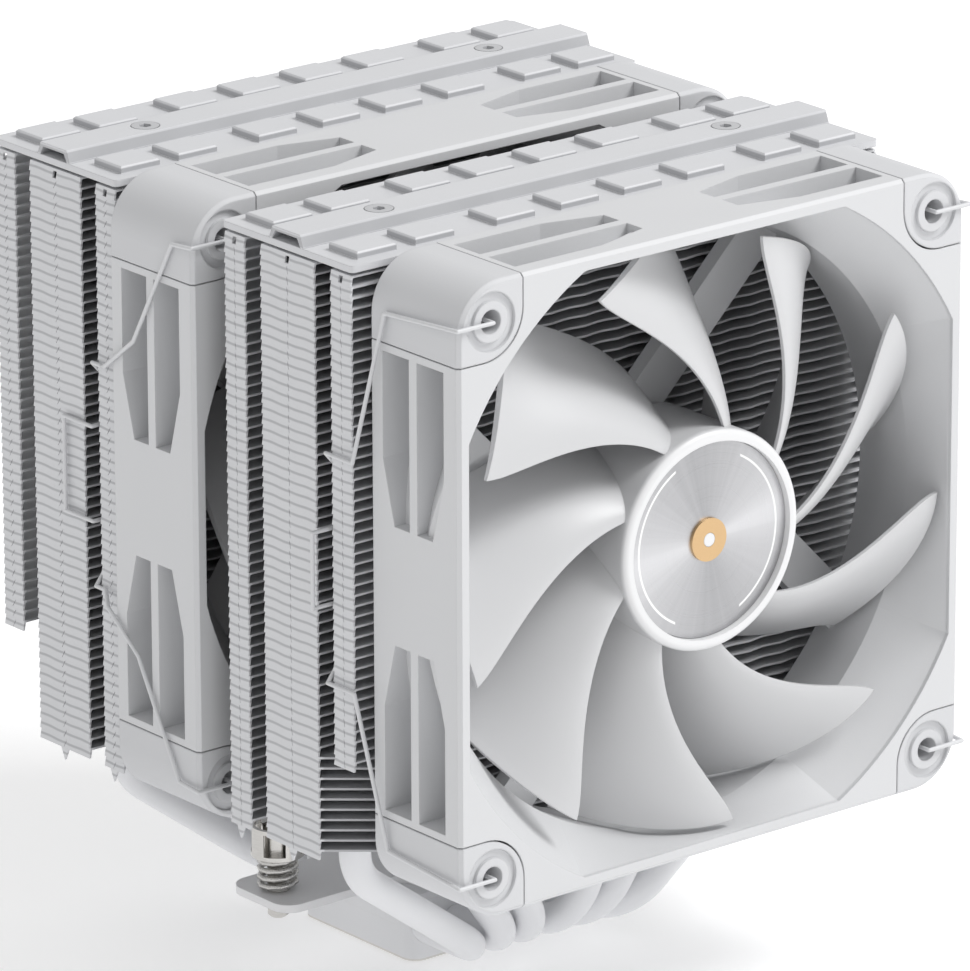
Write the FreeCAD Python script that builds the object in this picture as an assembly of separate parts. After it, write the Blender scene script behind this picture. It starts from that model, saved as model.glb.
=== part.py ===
import FreeCAD, Part
import math
import os

# Dual-tower processor cooler with two fans, in millimetres.
# x runs across the cooler, y from the front fan to the rear tower, z up.
# The origin is the middle of the cold plate's contact face.

os.makedirs("parts", exist_ok=True)
Vec = FreeCAD.Vector
X_AXIS = Vec(1, 0, 0)
Z_AXIS = Vec(0, 0, 1)

# ---------------------------------------------------------------- driving dimensions

# Fin towers
TOWER_PITCH = 69.5          # between the middles of the two towers
FIN_WIDTH = 125.2           # a fin across x, over its folded tabs
FIN_DEPTH = 36.6            # a fin from front to back
FIN_THICKNESS = 0.4
FIN_PITCH = 2.0
FIN_BASE_Z = 40.3           # underside of the lowest fin
FIN_TAB_GAP = 0.05          # between a folded tab and the fin below
CENTRE_TAB_HALF = 7.75      # half the middle tab column
NARROW_TAB_START = 12.5     # inner edge of the outer tab columns, from the tower's middle
NOTCH_DEPTH = 3.8           # how far a fin's side is set back between the columns
NOTCH_TOOTH = 1.5           # small tooth in that notch
TAB_SEAM = 0.15             # slanting slit in the middle of each column
SEAM_SLANT = 0.3            # sideways run of that slit, each way from its middle
TAB_LEAN = 0.35             # how far a tab's lower edge stands out over its upper edge
EDGE_TEETH = 12             # shallow teeth along a fin's front and back edge
EDGE_TOOTH_DEPTH = 0.5
EDGE_TOOTH_SPAN = 96.0
EDGE_TOOTH_FLANK = 0.4      # sloping share of a tooth, on each side of its valley
CUT_FIN_COUNT = 10          # lowest fins, whose outer corners are cut off
CORNER_CUT_WIDTH = 12.6
TIP_WIDTH = 2.2             # pointed tip under each tab column
TIP_HEIGHT = 2.4
TOP_SLOT_WIDTH = 1.1        # slot at the top of each tab column

# Heat pipes
PIPE_RADIUS = 3.0
PIPE_COUNT = 6
PIPE_BASE_PITCH = 6.6       # between pipes in the base
PIPE_FIN_X = (14.0, 31.0, 48.0)   # where the pipes of each side stand in the fins
PIPE_LEAN_DEG = (63.6, 54.5, 36.6)   # slope of each one's leaning run above the level
PIPE_BEND_RADIUS = 9.0
PIPE_AXIS_Z = 6.4
PIPE_TOP_GAP = 0.3          # under the cover plate
PIPE_HOLE_CLEARANCE = 0.05
PIPE_GROOVE_CLEARANCE = 0.02
PIPE_END_CHAMFER = 0.75     # closed end of a pipe

# Base
BASE_WIDTH = 40.4
BASE_DEPTH = 34.0
BASE_CORNER_RADIUS = 3.0
BLOCK_TOP_Z = 13.1
BLOCK_CHAMFER = 1.0

# Mounting bar and its captive screws
BAR_THICKNESS = 1.6
BAR_LENGTH = 88.4
BAR_ARM_WIDTH = 17.8
BAR_END_RADIUS = 4.0
BAR_CENTRE_WIDTH = 28.0     # along y
BAR_CENTRE_LENGTH = 32.0    # along x
BAR_NECK_RADIUS = 4.0
MOUNT_SPACING = 78.0
SCREW_RADIUS = 2.05
SCREW_RUNNING_GAP = 0.06
SCREW_TIP_Z = 9.4
SCREW_TIP_CHAMFER = 0.5
SPRING_HEIGHT = 7.2
SPRING_MEAN_RADIUS = 3.5
SPRING_WIRE_RADIUS = 0.55
SPRING_TURNS = 3.8
COLLAR_RADIUS = 5.1
COLLAR_THICKNESS = 0.8
COLLAR_WALL = 0.8
COLLAR_HEIGHT = 6.0
COLLAR_WINDOWS = 4
COLLAR_WINDOW_WIDTH = 4.2
HEAD_RADIUS = 3.1
HEAD_HEIGHT = 6.6
HEAD_SLOT_WIDTH = 1.2
HEAD_SLOT_DEPTH = 1.6
CLIP_THICKNESS = 0.7
CLIP_OUTER_RADIUS = 3.6
CLIP_GROOVE_RADIUS = 1.5
CLIP_GAP = 0.05
CLIP_MOUTH = 2.2
CLIP_BELOW_ARM = 0.2

# Countersunk screws of the base bar and of the top strips
SMALL_SCREW_RADIUS = 1.5
SMALL_HEAD_RADIUS = 2.7
SMALL_HEAD_HEIGHT = 1.2
SMALL_SOCKET_RADIUS = 1.2
SMALL_SOCKET_DEPTH = 1.0
SMALL_HOLE_CLEARANCE = 0.15
BAR_SCREW_X = 10.0
BAR_SCREW_DEPTH = 3.0

# Top covers
COVER_UNDER_GAP = 0.7       # above the highest fin
COVER_THICKNESS = 1.3
COVER_OVERHANG = 0.6
COVER_CORNER_RADIUS = 1.0
TILE_X = (7.5, 22.6, 41.4, 54.7)
TILE_Y = 12.1
TILE_WIDTH = 9.0
TILE_DEPTH = 8.1
TILE_HEIGHT = 1.4
TILE_BEVEL = 0.3
STRIP_BASE_HALF = 4.9
STRIP_TOP_HALF = 3.95
STRIP_HEIGHT = 2.4
STRIP_SHEET = 0.8
STRIP_SCREW_X = 41.3
STRIP_SCREW_LENGTH = 3.4
BOSS_RADIUS = 2.7

# Fans
FAN_HEIGHT = 120.0
MIDDLE_FAN_EXTRA = 11.0     # how much wider the middle fan's frame is than the front fan's
FAN_OVER_FINS = 6.0         # how much taller a fan is than its row of fins
FAN_DEPTH = 25.0
FAN_GAP = 2.15              # between a fan's back and the fins
FAN_HOLE_INSET = 7.5
FAN_HOLE_RADIUS = 2.25
FAN_CORNER_RADIUS = 10.0
FAN_EDGE_CHAMFER = 0.7
PAD_SIZE = 14.75
PAD_INNER_RADIUS = 9.0
PAD_SEAM = 0.25
PAD_TONGUE = 1.3
PAD_TONGUE_DEPTHS = (9.5, 15.5)
PAD_TONGUE_COVER = 2.5      # frame left outside the tongue
PAD_RING_RADIUS = 5.5
PAD_RING_STEP = 3.9
PAD_RING_DEPTH = 0.6
MOUTH_OVER_FRAME = 5.3      # the opening's round corners, past half the fan's height
MOUTH_RIM = 2.4             # straight rim of the front opening
MOUTH_STRAIGHT = 0.8
THROAT_INSET = 2.6          # between the duct's round throat and the frame's top
THROAT_START = 12.0
DUCT_WALL = 1.2
POCKET_MARGIN = 1.65        # between a pad's seam and the nearest pocket
POCKET_LENGTH = 32.3
POCKET_TAPER_LENGTH = 12.2
POCKET_TAPER = 3.2
POCKET_WIDTH = 7.5
POCKET_RIB = 2.2
POCKET_MIDDLE = 12.75
POCKET_DEPTH = 9.0

# Struts and motor cup at the back of a fan
STRUT_WIDTH = 8.5
STRUT_OFFSET = 14.6
STRUT_ANGLE = 44.3
STRUT_FRONT = 21.4
STRUT_BACK = 24.6
CUP_FRONT = 21.2
CUP_PLATE = 1.4
CUP_WALL = 1.5

# Rotor
HUB_RADIUS = 21.0
HUB_FRONT = 0.8
HUB_BACK = 20.4
HUB_WALL = 1.6
HUB_RIM_ROUND = 1.3
HUB_FACE = 1.9              # depth of the recess floor behind the hub's front
HUB_PLATE = 1.6
DISC_RADIUS = 18.65
DISC_THICKNESS = 0.6
DISC_CLEARANCE = 0.1
PIP_RADIUS = 1.3
PIP_CLEARANCE = 0.05
RING_RADIUS = 4.1
RING_THICKNESS = 0.5
BOSS_LENGTH = 1.2
SHAFT_SEAT = 0.5            # from the recess floor to the shaft's front end
HUB_BOSS_RADIUS = 4.0
BLADE_COUNT = 9
BLADE_TIP_GAP = 1.0
BLADE_ROOT_DEPTH = 0.8      # how far a blade reaches into the hub's wall
BLADE_FRONT = 2.6
BLADE_BACK = 19.9
BLADE_FIRST_DEG = 36.8
BLADE_SWEEP_DEG = 37.5
BLADE_SWEEP_POWER = 1.4
BLADE_WRAP_DEG = 31.0
BLADE_DEPTH_POWER = 1.65
BLADE_THICKNESS = 1.3
BLADE_EDGE_SHARE = 0.45     # of the thickness, left at the front and back edges
BLADE_EDGE_START = 0.1      # how far the rounding of those edges has come at the very edge
BLADE_RADIAL_STEPS = 8
BLADE_CHORD_STEPS = 8

# Motor
YOKE_GAP = 0.05
YOKE_WALL = 1.0
MAGNET_WALL = 1.7
MAGNET_LENGTH = 12.0
AIR_GAP = 0.5
SHAFT_RADIUS = 1.5
SHAFT_RUNNING_GAP = 0.03
SHAFT_END_GAP = 0.6
BEARING_RADIUS = 4.5
BEARING_GAP = 0.4
STATOR_FRONT = 7.5
STATOR_LENGTH = 9.0
STATOR_HUB_RADIUS = 7.2
STATOR_ARM_WIDTH = 4.0
STATOR_SHOE = 2.2
STATOR_SHOE_DEG = 62.0
COIL_GAP = 0.1
COIL_WALL = 1.7
COIL_SHOE_GAP = 0.7
BOARD_RADIUS = 18.8
BOARD_THICKNESS = 1.2

# Wire clips
WIRE_RADIUS = 0.4
WIRE_GAP = 0.3
CLIP_STUB = 2.4             # end of the wire in the fan's hole
# Bends on the side of each fan: depth behind the fan's front, drop below its upper hole
CLIP_SIDE_BENDS = {
    "front_fan": ((19.8, 1.5),),
    "middle_fan": ((5.1, 0.5), (17.1, 21.9), (26.2, 29.0)),
}
CLIP_FIN_BEND = {"front_fan": -1.15, "middle_fan": 3.5}   # behind the fins' front edge
CLIP_HOOK_HEIGHT = 21.9     # of the hook above the fan's middle
CLIP_HOOK_RISE = 3.0
CLIP_NOTCH_INSET = 2.2      # how deep the wire lies in the fins' notch
CLIP_NOTCH_GAP = 1.3        # between the wire's middle and the narrow tab column
# Finger loop of each clip: half its height, its reach along the fins, its reach outwards
CLIP_HANDLES = {"front_fan": (7.2, 0.0, 2.8), "middle_fan": (9.3, 8.5, 0.0)}

# ---------------------------------------------------------------- derived places

TOWERS = {"front": -TOWER_PITCH / 2, "rear": TOWER_PITCH / 2}
FIN_COUNT = round((FAN_HEIGHT - FAN_OVER_FINS) / FIN_PITCH)
FAN_MIDDLE_Z = FIN_BASE_Z + (FIN_COUNT - 1) * FIN_PITCH / 2
FIN_TOP_Z = FIN_BASE_Z + (FIN_COUNT - 1) * FIN_PITCH + FIN_THICKNESS
COVER_Z = FIN_TOP_Z + COVER_UNDER_GAP
COVER_TOP_Z = COVER_Z + COVER_THICKNESS
STRIP_TOP_Z = COVER_TOP_Z + STRIP_HEIGHT
PIPE_TOP_Z = COVER_Z - PIPE_TOP_GAP
BAR_TOP_Z = BLOCK_TOP_Z + BAR_THICKNESS
COLLAR_Z = BAR_TOP_Z + SPRING_HEIGHT
FRONT_FAN_WIDTH = FAN_HEIGHT
MIDDLE_FAN_WIDTH = FRONT_FAN_WIDTH + MIDDLE_FAN_EXTRA
MOUTH_RADIUS = FAN_HEIGHT / 2 + MOUTH_OVER_FRAME
THROAT_RADIUS = FAN_HEIGHT / 2 - THROAT_INSET
BLADE_TIP_RADIUS = THROAT_RADIUS - BLADE_TIP_GAP
FANS = {
    "front_fan": (FRONT_FAN_WIDTH, TOWERS["front"] - FIN_DEPTH / 2 - FAN_GAP - FAN_DEPTH),
    "middle_fan": (MIDDLE_FAN_WIDTH, TOWERS["rear"] - FIN_DEPTH / 2 - FAN_GAP - FAN_DEPTH),
}
CLIP_TOWERS = {"front_fan": "front", "middle_fan": "rear"}


# ---------------------------------------------------------------- helpers

def save(name, shapes):
    """Write one node: a solid, or several separate solids of one kind."""
    solids = []
    for shape in shapes if isinstance(shapes, list) else [shapes]:
        solids.extend(shape.Solids)
    for solid in solids:
        if not solid.isValid() or solid.Volume <= 0:
            raise ValueError("bad solid in " + name)
    node = solids[0] if len(solids) == 1 else Part.makeCompound(solids)
    node.exportStep("parts/" + name + ".step")
    print(name, len(solids), round(sum(s.Volume for s in solids), 1))


def box(x0, x1, y0, y1, z0, z1):
    return Part.makeBox(x1 - x0, y1 - y0, z1 - z0, Vec(x0, y0, z0))


def rod(radius, z0, z1, x=0.0, y=0.0):
    return Part.makeCylinder(radius, z1 - z0, Vec(x, y, z0), Z_AXIS)


def tube(outer, inner, z0, z1):
    return rod(outer, z0, z1).cut(rod(inner, z0 - 1, z1 + 1))


def prism(points, z0, z1):
    """Upright solid over a closed outline of (x, y) points."""
    corners = [Vec(x, y, z0) for x, y in points]
    outline = Part.makePolygon(corners + corners[:1])
    return Part.Face(outline).extrude(Vec(0, 0, z1 - z0))


def rounded_box(width, depth, z0, z1, radius):
    block = box(-width / 2, width / 2, -depth / 2, depth / 2, z0, z1)
    uprights = [e for e in block.Edges if abs(e.tangentAt(e.FirstParameter).z) > 0.9]
    return block.makeFillet(radius, uprights)


def mirrored_x(shape):
    return shape.mirror(Vec(0, 0, 0), X_AXIS)


def mirrored_y(shape):
    return shape.mirror(Vec(0, 0, 0), Vec(0, 1, 0))


def moved(shape, x=0.0, y=0.0, z=0.0):
    copy = shape.copy()
    copy.translate(Vec(x, y, z))
    return copy


def turned(shape, degrees):
    """Copy turned about the z axis, anticlockwise."""
    copy = shape.copy()
    copy.rotate(Vec(0, 0, 0), Z_AXIS, degrees)
    return copy


def bent_rod(points, radius, bend):
    """Round bar along straight runs joined by tangent arcs at the inner points."""
    edges = []
    start = points[0]
    for before, corner, after in zip(points, points[1:], points[2:]):
        into = (corner - before).normalize()
        out = (after - corner).normalize()
        turn = into.getAngle(out)
        if turn < 1e-6:
            continue
        setback = bend * math.tan(turn / 2)
        arc_start = corner - into * setback
        arc_end = corner + out * setback
        inward = (out - into).normalize()
        middle = corner + inward * (bend / math.cos(turn / 2) - bend)
        edges.append(Part.LineSegment(start, arc_start).toShape())
        edges.append(Part.Arc(arc_start, middle, arc_end).toShape())
        start = arc_end
    edges.append(Part.LineSegment(start, points[-1]).toShape())
    path = Part.Wire(edges)
    direction = (points[1] - points[0]).normalize()
    section = Part.Wire([Part.makeCircle(radius, points[0], direction)])
    bar = path.makePipeShell([section], True, True)
    expected = math.pi * radius ** 2 * path.Length
    if abs(bar.Volume - expected) > 0.01 * expected:
        raise ValueError("bent rod has the wrong volume")
    return bar


def countersunk_screw(x, y, top_z, length):
    shank = rod(SMALL_SCREW_RADIUS, top_z - length, top_z - SMALL_HEAD_HEIGHT, x, y)
    head = Part.makeCone(SMALL_SCREW_RADIUS, SMALL_HEAD_RADIUS, SMALL_HEAD_HEIGHT,
                         Vec(x, y, top_z - SMALL_HEAD_HEIGHT), Z_AXIS)
    socket_points = []
    for corner in range(6):
        angle = math.radians(60 * corner)
        socket_points.append((x + SMALL_SOCKET_RADIUS * math.cos(angle),
                              y + SMALL_SOCKET_RADIUS * math.sin(angle)))
    socket = prism(socket_points, top_z - SMALL_SOCKET_DEPTH, top_z + 1)
    return shank.fuse(head).cut(socket)


def countersunk_hole(x, y, top_z, bottom_z):
    gap = SMALL_HOLE_CLEARANCE
    bore = rod(SMALL_SCREW_RADIUS + gap, bottom_z, top_z, x, y)
    sink = Part.makeCone(SMALL_SCREW_RADIUS + gap, SMALL_HEAD_RADIUS + gap, SMALL_HEAD_HEIGHT,
                         Vec(x, y, top_z - SMALL_HEAD_HEIGHT), Z_AXIS)
    return bore.fuse(sink)


# ---------------------------------------------------------------- heat pipes

def pipe_places():
    """Each pipe's x in the base, its x in the fins and its slope, from left to right."""
    places = []
    for index in range(PIPE_COUNT):
        offset = index - (PIPE_COUNT - 1) / 2
        side = 1 if offset > 0 else -1
        rank = int(abs(offset))
        places.append((offset * PIPE_BASE_PITCH, side * PIPE_FIN_X[rank], PIPE_LEAN_DEG[rank]))
    return places


def heat_pipe(base_x, fin_x, lean_deg):
    knee_z = PIPE_AXIS_Z + abs(fin_x - base_x) * math.tan(math.radians(lean_deg))
    half = TOWER_PITCH / 2
    points = [
        Vec(fin_x, half, PIPE_TOP_Z),
        Vec(fin_x, half, knee_z),
        Vec(base_x, half, PIPE_AXIS_Z),
        Vec(base_x, -half, PIPE_AXIS_Z),
        Vec(fin_x, -half, knee_z),
        Vec(fin_x, -half, PIPE_TOP_Z),
    ]
    pipe = bent_rod(points, PIPE_RADIUS, PIPE_BEND_RADIUS)
    rims = [e for e in pipe.Edges
            if e.Length < 2.1 * math.pi * PIPE_RADIUS and e.BoundBox.ZMin > PIPE_TOP_Z - 0.01]
    return pipe.makeChamfer(PIPE_END_CHAMFER, rims)


def make_pipes():
    for number, place in enumerate(pipe_places(), start=1):
        save("heat_pipe_%d" % number, heat_pipe(*place))


# ---------------------------------------------------------------- base

def pipe_grooves():
    grooves = []
    for base_x, _, _ in pipe_places():
        grooves.append(Part.makeCylinder(PIPE_RADIUS + PIPE_GROOVE_CLEARANCE, BASE_DEPTH + 2,
                                         Vec(base_x, -BASE_DEPTH / 2 - 1, PIPE_AXIS_Z),
                                         Vec(0, 1, 0)))
    return Part.makeCompound(grooves)


def make_base():
    grooves = pipe_grooves()
    plate = rounded_box(BASE_WIDTH, BASE_DEPTH, 0, PIPE_AXIS_Z, BASE_CORNER_RADIUS)
    save("cold_plate", plate.cut(grooves))

    block = rounded_box(BASE_WIDTH, BASE_DEPTH, PIPE_AXIS_Z, BLOCK_TOP_Z, BASE_CORNER_RADIUS)
    top_edges = [e for e in block.Edges if e.BoundBox.ZMin > BLOCK_TOP_Z - 0.01]
    block = block.makeChamfer(BLOCK_CHAMFER, top_edges)
    block = block.cut(grooves)
    for x in (-BAR_SCREW_X, BAR_SCREW_X):
        block = block.cut(rod(SMALL_SCREW_RADIUS, BLOCK_TOP_Z - BAR_SCREW_DEPTH,
                              BLOCK_TOP_Z + 1, x))
    save("pipe_clamp_block", block)


def make_mounting_bar():
    arm = rounded_box(BAR_LENGTH, BAR_ARM_WIDTH, BLOCK_TOP_Z, BAR_TOP_Z, BAR_END_RADIUS)
    centre = rounded_box(BAR_CENTRE_LENGTH, BAR_CENTRE_WIDTH, BLOCK_TOP_Z, BAR_TOP_Z,
                         BAR_NECK_RADIUS)
    bar = arm.fuse(centre).removeSplitter()
    necks = []
    for edge in bar.Edges:
        middle = edge.CenterOfMass
        upright = abs(edge.tangentAt(edge.FirstParameter).z) > 0.9
        at_neck = abs(abs(middle.x) - BAR_CENTRE_LENGTH / 2) < 0.01
        if upright and at_neck and abs(abs(middle.y) - BAR_ARM_WIDTH / 2) < 0.01:
            necks.append(edge)
    bar = bar.makeFillet(BAR_NECK_RADIUS / 2, necks)
    for side in (-1, 1):
        bar = bar.cut(rod(SCREW_RADIUS + SCREW_RUNNING_GAP, BLOCK_TOP_Z - 1, BAR_TOP_Z + 1,
                          side * MOUNT_SPACING / 2))
        bar = bar.cut(countersunk_hole(side * BAR_SCREW_X, 0, BAR_TOP_Z, BLOCK_TOP_Z - 1))
    save("mounting_bar", bar)
    screws = [countersunk_screw(side * BAR_SCREW_X, 0, BAR_TOP_Z, BAR_THICKNESS + BAR_SCREW_DEPTH)
              for side in (-1, 1)]
    save("bar_fixing_screws", screws)


def mounting_screw():
    """Captive screw on the z axis: threaded tip, clip groove, windowed collar and slotted head."""
    clip_top = BLOCK_TOP_Z - CLIP_BELOW_ARM
    shank = rod(SCREW_RADIUS, SCREW_TIP_Z, COLLAR_Z)
    tip_edges = [e for e in shank.Edges if e.BoundBox.ZMax < SCREW_TIP_Z + 0.01]
    shank = shank.makeChamfer(SCREW_TIP_CHAMFER, tip_edges)
    groove_low = clip_top - CLIP_THICKNESS - CLIP_GAP
    groove = tube(SCREW_RADIUS + 1, CLIP_GROOVE_RADIUS, groove_low, clip_top + CLIP_GAP)
    flange = rod(COLLAR_RADIUS, COLLAR_Z, COLLAR_Z + COLLAR_THICKNESS)
    wall = tube(COLLAR_RADIUS, COLLAR_RADIUS - COLLAR_WALL, COLLAR_Z, COLLAR_Z + COLLAR_HEIGHT)
    sill = COLLAR_Z + COLLAR_THICKNESS
    lintel = COLLAR_Z + COLLAR_HEIGHT - COLLAR_THICKNESS
    for number in range(COLLAR_WINDOWS):
        window = box(0, COLLAR_RADIUS + 1, -COLLAR_WINDOW_WIDTH / 2, COLLAR_WINDOW_WIDTH / 2,
                     sill, lintel)
        wall = wall.cut(turned(window, 45 + number * 360 / COLLAR_WINDOWS))
    head = rod(HEAD_RADIUS, COLLAR_Z, COLLAR_Z + HEAD_HEIGHT)
    screw = shank.cut(groove).fuse([flange, wall, head]).removeSplitter()
    slot_bottom = COLLAR_Z + HEAD_HEIGHT - HEAD_SLOT_DEPTH
    slot_top = COLLAR_Z + HEAD_HEIGHT + 1
    slot = box(-HEAD_RADIUS - 1, HEAD_RADIUS + 1, -HEAD_SLOT_WIDTH / 2, HEAD_SLOT_WIDTH / 2,
               slot_bottom, slot_top)
    return screw.cut(slot.fuse(turned(slot, 90)))


def retaining_clip():
    clip_top = BLOCK_TOP_Z - CLIP_BELOW_ARM
    clip = tube(CLIP_OUTER_RADIUS, CLIP_GROOVE_RADIUS + CLIP_GAP, clip_top - CLIP_THICKNESS,
                clip_top)
    mouth = box(0, CLIP_OUTER_RADIUS + 1, -CLIP_MOUTH / 2, CLIP_MOUTH / 2,
                clip_top - CLIP_THICKNESS - 1, clip_top + 1)
    return clip.cut(mouth)


def screw_spring():
    """Open coil between the arm and the collar, its wire's section drawn square to the helix."""
    low = BAR_TOP_Z + SPRING_WIRE_RADIUS
    height = SPRING_HEIGHT - 2 * SPRING_WIRE_RADIUS
    rise = height / SPRING_TURNS
    helix = Part.makeHelix(rise, height, SPRING_MEAN_RADIUS)
    start = Vec(SPRING_MEAN_RADIUS, 0, 0)
    along = Vec(0, 2 * math.pi * SPRING_MEAN_RADIUS, rise).normalize()
    across = along.cross(X_AXIS).normalize() * SPRING_WIRE_RADIUS
    outward = X_AXIS * SPRING_WIRE_RADIUS
    section = Part.Wire([
        Part.Arc(start + outward, start + across, start - outward).toShape(),
        Part.Arc(start - outward, start - across, start + outward).toShape(),
    ])
    coil = Part.Wire(helix.Edges).makePipeShell([section], True, True)
    return moved(coil, z=low)


def make_mounting_screws():
    for side, sign in (("left", -1), ("right", 1)):
        x = sign * MOUNT_SPACING / 2
        save(side + "_mounting_screw", moved(mounting_screw(), x))
        save(side + "_retaining_clip", moved(turned(retaining_clip(), 90), x))
        save(side + "_screw_spring", moved(screw_spring(), x))


# ---------------------------------------------------------------- fin towers

def fin_outline(corner_cut):
    """Half of a fin's outline, x > 0, from the front edge round to the back edge."""
    side = FIN_WIDTH / 2 - TAB_LEAN
    half = FIN_DEPTH / 2
    notch = side - NOTCH_DEPTH
    points = []
    if corner_cut:
        points.append((side - CORNER_CUT_WIDTH, -half))
        points.append((side, -CENTRE_TAB_HALF))
    else:
        points.append((side, -half))
        points.append((side, -NARROW_TAB_START))
        points.append((notch, -NARROW_TAB_START))
        points.append((notch + NOTCH_TOOTH, -(NARROW_TAB_START + CENTRE_TAB_HALF) / 2))
        points.append((notch, -CENTRE_TAB_HALF))
        points.append((side, -CENTRE_TAB_HALF))
    points.append((side, CENTRE_TAB_HALF))
    points.append((notch, CENTRE_TAB_HALF))
    points.append((notch + NOTCH_TOOTH, (NARROW_TAB_START + CENTRE_TAB_HALF) / 2))
    points.append((notch, NARROW_TAB_START))
    points.append((side, NARROW_TAB_START))
    points.append((side, half))
    return points


def edge_teeth(y):
    """Shallow teeth along an edge at y, from +x to -x."""
    step = EDGE_TOOTH_SPAN / EDGE_TEETH
    inner = y - math.copysign(EDGE_TOOTH_DEPTH, y)
    points = []
    for tooth in range(EDGE_TEETH):
        right = EDGE_TOOTH_SPAN / 2 - tooth * step
        points.append((right, y))
        points.append((right - step * EDGE_TOOTH_FLANK, inner))
        points.append((right - step * (1 - EDGE_TOOTH_FLANK), inner))
    points.append((-EDGE_TOOTH_SPAN / 2, y))
    return points


def tab_columns(corner_cut):
    half = FIN_DEPTH / 2
    columns = [(-CENTRE_TAB_HALF, CENTRE_TAB_HALF), (NARROW_TAB_START, half)]
    if not corner_cut:
        columns.append((-half, -NARROW_TAB_START))
    return columns


def sideways_plate(points, x0, x1):
    """Solid between two x planes over a closed outline of (y, z) points."""
    corners = [Vec(x0, y, z) for y, z in points]
    outline = Part.makePolygon(corners + corners[:1])
    return Part.Face(outline).extrude(Vec(x1 - x0, 0, 0))


def folded_tab(y0, y1, slotted, tipped):
    """One folded tab on the +x side: it hangs from its fin and leans out over the next one."""
    side = FIN_WIDTH / 2
    low = -(FIN_PITCH - FIN_THICKNESS - FIN_TAB_GAP)
    middle = (y0 + y1) / 2
    profile = [(side - TAB_LEAN - FIN_THICKNESS, FIN_THICKNESS), (side - TAB_LEAN, FIN_THICKNESS),
               (side, low), (side - FIN_THICKNESS, low)]
    corners = [Vec(x, y0, z) for x, z in profile]
    tab = Part.Face(Part.makePolygon(corners + corners[:1])).extrude(Vec(0, y1 - y0, 0))
    if tipped:
        tip = [(middle - TIP_WIDTH / 2, low), (middle + TIP_WIDTH / 2, low),
               (middle, low - TIP_HEIGHT)]
        tab = tab.fuse(sideways_plate(tip, side - FIN_THICKNESS, side))
    slit_half = (TOP_SLOT_WIDTH if slotted else TAB_SEAM) / 2
    slant = 0.0 if slotted else SEAM_SLANT
    slit = [(middle - slit_half - slant, low + TAB_SEAM),
            (middle + slit_half - slant, low + TAB_SEAM),
            (middle + slit_half + slant, -TAB_SEAM / 2),
            (middle - slit_half + slant, -TAB_SEAM / 2)]
    return tab.cut(sideways_plate(slit, side - NOTCH_DEPTH, side + 1))


def fin(corner_cut=False, slotted=False, tipped=False):
    """One fin with its underside at z = 0; the cut corners are towards -y."""
    half = FIN_DEPTH / 2
    right = fin_outline(corner_cut)
    left = [(-x, y) for x, y in reversed(right)]
    outline = right + edge_teeth(half) + left + list(reversed(edge_teeth(-half)))
    sheet = prism(outline, 0, FIN_THICKNESS)
    holes = [rod(PIPE_RADIUS + PIPE_HOLE_CLEARANCE, -1, FIN_THICKNESS + 1, fin_x)
             for _, fin_x, _ in pipe_places()]
    sheet = sheet.cut(Part.makeCompound(holes))
    tabs = [folded_tab(y0, y1, slotted, tipped) for y0, y1 in tab_columns(corner_cut)]
    tabs += [mirrored_x(tab) for tab in tabs]
    return sheet.fuse(tabs).removeSplitter()


def make_fin_towers():
    plain = fin()
    top = fin(slotted=True)
    cut = fin(corner_cut=True)
    lowest = fin(corner_cut=True, tipped=True)
    for name, y in TOWERS.items():
        fins = []
        for number in range(FIN_COUNT):
            if number == 0:
                shape = lowest
            elif number < CUT_FIN_COUNT:
                shape = cut
            elif number == FIN_COUNT - 1:
                shape = top
            else:
                shape = plain
            if y > 0:
                shape = mirrored_y(shape)
            fins.append(moved(shape, 0, y, FIN_BASE_Z + number * FIN_PITCH))
        save(name + "_fin_stack", fins)


# ---------------------------------------------------------------- top covers

def tile(x, y):
    low = COVER_TOP_Z - COVER_THICKNESS / 2
    block = box(x - TILE_WIDTH / 2, x + TILE_WIDTH / 2, y - TILE_DEPTH / 2, y + TILE_DEPTH / 2,
                low, COVER_TOP_Z + TILE_HEIGHT)
    rims = [e for e in block.Edges if e.BoundBox.ZMin > COVER_TOP_Z + TILE_HEIGHT - 0.01]
    return block.makeChamfer(TILE_BEVEL, rims)


def top_cover():
    depth = FIN_DEPTH + 2 * COVER_OVERHANG
    cover = rounded_box(FIN_WIDTH, depth, COVER_Z, COVER_TOP_Z, COVER_CORNER_RADIUS)
    raised = []
    for x in TILE_X:
        for sign_x in (-1, 1):
            for sign_y in (-1, 1):
                raised.append(tile(sign_x * x, sign_y * TILE_Y))
    for side in (-1, 1):
        raised.append(rod(BOSS_RADIUS, COVER_Z, STRIP_TOP_Z - STRIP_SHEET - SMALL_HEAD_HEIGHT,
                          side * STRIP_SCREW_X))
    cover = cover.fuse(raised).removeSplitter()
    for side in (-1, 1):
        cover = cover.cut(rod(SMALL_SCREW_RADIUS, COVER_Z - 1, STRIP_TOP_Z,
                              side * STRIP_SCREW_X))
    return cover


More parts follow.
